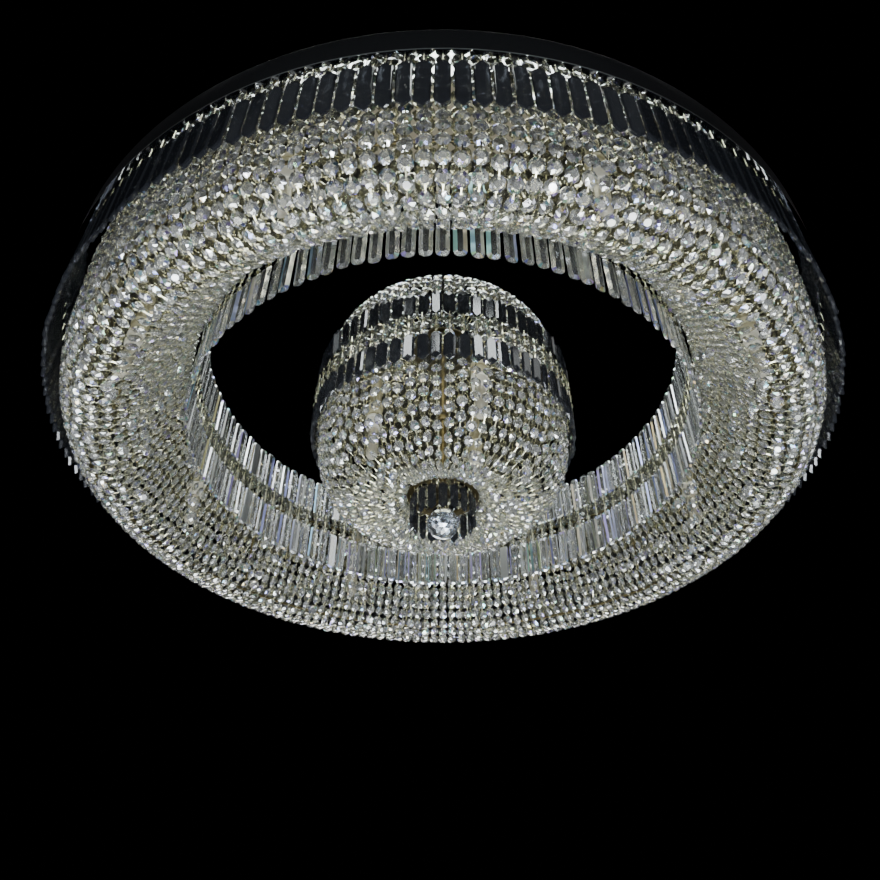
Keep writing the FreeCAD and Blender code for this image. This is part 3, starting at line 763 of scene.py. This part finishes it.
settle(link(bpy.data.objects.new("faceted_ball", ballMesh)), "hanging_ball", "clear_glass", "crystal_ball")
print("ball made")

# outlines of turned pieces: distance from the axis and height
holderOutline = [(0, 0), (8, 0), (11, -1), (11, -4), (9.6, -5), (9.6, -13), (11, -14), (11, -18), (10, -22), (0, -22)]
bulbOutline = [(0, -20), (6.4, -20), (6.4, -23), (8, -26), (8, -64), (7.6, -67), (6.2, -69.8), (3.6, -71.6), (0, -72)]
ringLamps = {"count": 8, "radius": 408.5, "drop": 0, "start": 22.5}
centreLamps = {"count": 3, "radius": 95, "drop": 0, "start": 60}
holderShape = turned("holder_shape", holderOutline, None, steps=24)
bulbShape = turned("bulb_shape", bulbOutline, None, steps=24)
for label, lamps in (("ring", ringLamps), ("centre", centreLamps)):
    holders = hung(label + "_holder_set", holderShape, lamps, holderCeramic, plainCircle)
    settle(holders, "fixture", "holder_ceramic", label + "_lampholders")
    bulbs = hung(label + "_bulb_set", bulbShape, lamps, bulbGlass, plainCircle)
    settle(bulbs, "fixture", "bulb_glass", label + "_bulbs")
print("lamps made")

hoopSize = {"radius": 461.8, "z": -128, "wire": 2, "sides": 10}
hoopRods = {"count": 8, "radius": 461.5, "drop": 0}
hoopTurns = [math.tau * side / hoopSize["sides"] for side in range(hoopSize["sides"])]
hoopOutline = [(hoopSize["radius"] + hoopSize["wire"] * math.cos(turn),
                hoopSize["z"] + hoopSize["wire"] * math.sin(turn)) for turn in hoopTurns]
settle(turned("hoop_wire", hoopOutline, darkenedBrass, steps=180), "fixture", "gold_brass", "chain_hoop")
rodOutline = [(0, 0), (3.2, 0), (3.2, -1), (1.6, -1.8), (1.6, -83.6), (2.4, -84.4), (2.4, -86), (0, -86)]
rodShape = turned("rod_shape", rodOutline, None, steps=12)
settle(hung("hoop_rod_set", rodShape, hoopRods, darkenedBrass, plainCircle), "fixture", "gold_brass", "hoop_rods")

stemOutline = [(0, -32), (4.4, -32), (5, -32.6), (5, -40), (8.6, -40), (9, -40.5), (9, -45), (8, -46), (5, -46.4),
               (5, -164.6), (8, -165), (9, -166), (9, -170.5), (8.6, -171), (5, -171), (5, -174.4), (4.4, -175),
               (0, -175)]
settle(turned("stem_turned", stemOutline, darkenedBrass, steps=32), "fixture", "gold_brass", "centre_stem")
nutOutline = [(5, -32), (8.1, -32), (9, -32.8), (9, -37.4), (8.4, -38), (5, -38)]
settle(turned("stem_hexagon", nutOutline, plainSteel, steps=6, smooth=20), "fixture", "steel", "stem_nut")

bandOutline = [(38.6, -171), (45.4, -171), (46, -171.6), (46, -174.4), (45.4, -175), (38.6, -175), (38, -174.4),
               (38, -171.6)]
hubOutline = [(5, -171), (8.4, -171), (9, -171.6), (9, -174.4), (8.4, -175), (5, -175)]
ringArm = {"count": 3, "low": (7, -3, -174.9), "high": (40, 3, -171.1), "edge": 0.5}
ringParts = [turned("ring_band", bandOutline, None, steps=90), turned("ring_hub", hubOutline, None, steps=32)]
for arm in range(ringArm["count"]):
    turn = arm * math.tau / ringArm["count"]
    ringParts.append(block("ring_arm_%d" % arm, ringArm["low"], ringArm["high"], ringArm["edge"], turn))
settle(joined("ring_frame", ringParts, darkenedBrass), "fixture", "gold_brass", "bottom_ring")
shortPin = {"count": 18, "radius": 41.5, "drop": 135, "start": 10, "length": 6, "thick": 0.5}
shortHook = template("short_hook", *wireHook(shortPin))
settle(hung("short_hooks", shortHook, shortPin, goldBrass, plainCircle), "fixture", "gold_brass", "short_pins")

eyeRing = {"z": -180.6, "radius": 3.6, "wire": 1.0, "axis": "Y"}
linkRing = {"z": -185.7, "radius": 4.2, "wire": 0.8, "axis": "X"}
loopRing = {"z": -190.8, "radius": 3.4, "wire": 0.8, "axis": "Y"}
eyeOutline = [(0, -175), (4.6, -175), (5, -175.4), (4.4, -176.5), (0, -176.5)]
loopOutline = [(0, -194.5), (1.6, -194.5), (2.6, -195.2), (2.6, -196), (0, -196)]
eyeSeat = turned("eye_seat", eyeOutline, None, steps=24)
eyeParts = [eyeSeat, wireRing("eye_ring", **eyeRing)]
settle(joined("eye_wire", eyeParts, goldBrass), "fixture", "gold_brass", "stem_eye")
linkParts = [wireRing("link_ring", **linkRing)]
settle(joined("link_wire", linkParts, goldBrass), "hanging_link", "gold_brass", "jump_link")
loopSeat = turned("loop_seat", loopOutline, None, steps=20)
loopParts = [loopSeat, wireRing("loop_ring", **loopRing)]
settle(joined("loop_wire", loopParts, goldBrass), "hanging_ball", "gold_brass", "ball_loop")
print("frame made")

settle(softened("cross_bars", "ceiling_cross", edge=0.4, material=plainSteel), "fixture", "steel", "ceiling_cross")
grommetOutline = [(9, -0.5), (9.5, 0), (11.6, 0), (12, -0.4), (12, -3), (14.3, -3), (15, -3.6), (15, -4.3),
                  (14.3, -5), (9.6, -5), (9, -4.4)]
settle(turned("grommet_turned", grommetOutline, blackRubber, steps=48), "fixture", "rubber", "cable_grommet")
stud = {"radius": 3, "root": 2.6, "threadFrom": -22, "threads": 20, "pitch": 1}
fixingCircle = {"count": 4, "radius": 408.5, "drop": -37}
threadOutline = [(0, 0), (stud["root"], 0), (stud["radius"], -0.5)]
for step in range(stud["threads"]):
    crest = stud["threadFrom"] - step * stud["pitch"]
    threadOutline += [(stud["radius"], crest), (stud["root"], crest - stud["pitch"] / 2)]
threadOutline += [(stud["radius"], -43.4), (2.4, -44), (0, -44)]
studShape = turned("stud_shape", threadOutline, None, steps=16)
settle(hung("stud_set", studShape, fixingCircle, plainSteel, plainCircle), "fixture", "steel", "hanging_studs")
capHexOutline = [(0, 0), (5.2, 0), (6, -0.8), (6, -5), (5.3, -5.6), (0, -5.6)]
capDomeOutline = [(0, -5.5), (4.9, -5.5), (4.8, -7.5), (4.2, -9.2), (3, -10.4), (1.5, -10.9), (0, -11)]
capHex = turned("cap_hexagon", capHexOutline, None, steps=6, smooth=20)
capDome = turned("cap_dome", capDomeOutline, None, steps=24)
capShape = joined("cap_shape", [capHex, capDome], goldBrass)
capNuts = hung("cap_nut_set", capShape, {**fixingCircle, "drop": 0}, goldBrass, plainCircle)
settle(capNuts, "fixture", "gold_brass", "cap_nuts")

terminal = {"low": (60, -10, -8), "high": (106, 10, -3), "poles": 3, "first": 61.5, "step": 14.6, "width": 13.6,
            "half": 8.4, "foot": -16.5, "top": -6, "screw": 5}
screwOutline = [(0, -16), (3.2, -16), (3.2, -17.6), (2.8, -18), (0, -18)]
blockParts = [block("block_base", terminal["low"], terminal["high"], edge=0.6)]
for pole in range(terminal["poles"]):
    left = terminal["first"] + terminal["step"] * pole
    blockParts.append(block("block_pole_%d" % pole, (left, -terminal["half"], terminal["foot"]),
                            (left + terminal["width"], terminal["half"], terminal["top"]), edge=1.2))
    for side in (-terminal["screw"], terminal["screw"]):
        tower = turned("block_screw", screwOutline, None, steps=20)
        tower.data.transform(Matrix.Translation(((left + terminal["width"] / 2) * mm, side * mm, 0)))
        blockParts.append(tower)
settle(joined("block_body", blockParts, blockPlastic), "fixture", "block_plastic", "terminal_block")
print("fixings made")

shapeEnds = ("_shape", "_hook", "_bead", "bow_tie", "_profile")
for shape in [item for item in scene.objects if item.name.endswith(shapeEnds)]:
    bpy.data.objects.remove(shape)

floorDisc = {"radius": 1.15, "place": (0, -0.1, -2.45), "paint": (0.62, 0.61, 0.59),
             "light": (0.64, 0.63, 0.61), "dark": (0.58, 0.57, 0.55)}
floorMesh = bpy.data.meshes.new("studio_floor")
work = bmesh.new()
bmesh.ops.create_circle(work, cap_ends=True, segments=96, radius=floorDisc["radius"],
                        matrix=Matrix.Translation(floorDisc["place"]))
work.to_mesh(floorMesh)
work.free()
floorPaint, floorShader, floorSheet = finish("floor_paint", floorDisc["paint"], Roughness=0.8)
floorTone = blend(floorSheet, grain(floorSheet, 14.0), floorDisc["light"], floorDisc["dark"])
floorSheet.feed(floorShader.inputs["Base Color"], floorTone)
floorMesh.materials.append(floorPaint)
link(bpy.data.objects.new("studio_floor", floorMesh))
world = scene.world or bpy.data.worlds.new("studio")
scene.world = world
world.use_nodes = True
world.node_tree.nodes["Background"].inputs["Color"].default_value = (0.0, 0.0, 0.0, 1)


def softbox(name, place, aim, width, height, power, colour=(1, 1, 1)):
    light = bpy.data.lights.new(name, "AREA")
    light.shape = "RECTANGLE"
    light.size = width
    light.size_y = height
    light.energy = power
    light.color = colour
    lamp = link(bpy.data.objects.new(name, light))
    lamp.location = place
    lamp.rotation_euler = (Vector(aim) - Vector(place)).to_track_quat("-Z", "Y").to_euler()
    lamp.visible_camera = False


middle = (0, 0, -0.1)  # of the ceiling light, in metres
coolWhite = (0.9, 0.95, 1.0)
for side in (-1, 1):
    softbox("key_softbox_%d" % side, (0.92 * side, -2.3, -2.3), middle, width=0.7, height=0.6, power=44,
            colour=coolWhite)
softbox("under_softbox", (0, -0.1, -2.35), (0, -0.1, -0.1), width=2.2, height=1.5, power=112,
        colour=(0.925, 0.985, 1.0))
softbox("left_softbox", (-2.2, -0.6, -1.2), middle, width=0.7, height=1.6, power=7, colour=coolWhite)
softbox("right_softbox", (2.2, -0.6, -1.2), middle, width=0.7, height=1.6, power=11, colour=(0.95, 0.97, 1.0))
softbox("top_softbox", (0, 0.6, 2.3), (0, 0, 0), width=2.0, height=1.4, power=75)
softbox("back_softbox", (-0.4, 2.8, -0.3), (0, 0.3, -0.1), width=1.6, height=1.0, power=30, colour=(1.0, 0.97, 0.93))
softbox("upper_softbox", (0, -1.15, 1.3), (0, -0.5, -0.1), width=2.4, height=0.8, power=0.6, colour=(0.8, 0.9, 1.0))

cameraFit = {"sensor": 36.0, "lens": 31.83, "shift": -0.0034, "place": (0, -0.8135, -0.7508), "tilt": 129.5}
camera = bpy.data.cameras.new("photo_camera")
camera.sensor_width = cameraFit["sensor"]
camera.lens = cameraFit["lens"]
camera.shift_x = cameraFit["shift"]
camera.clip_start = 0.02
view = link(bpy.data.objects.new("photo_camera", camera))
view.location = cameraFit["place"]
view.rotation_euler = (math.radians(cameraFit["tilt"]), 0, 0)
scene.camera = view

print("scene ready")
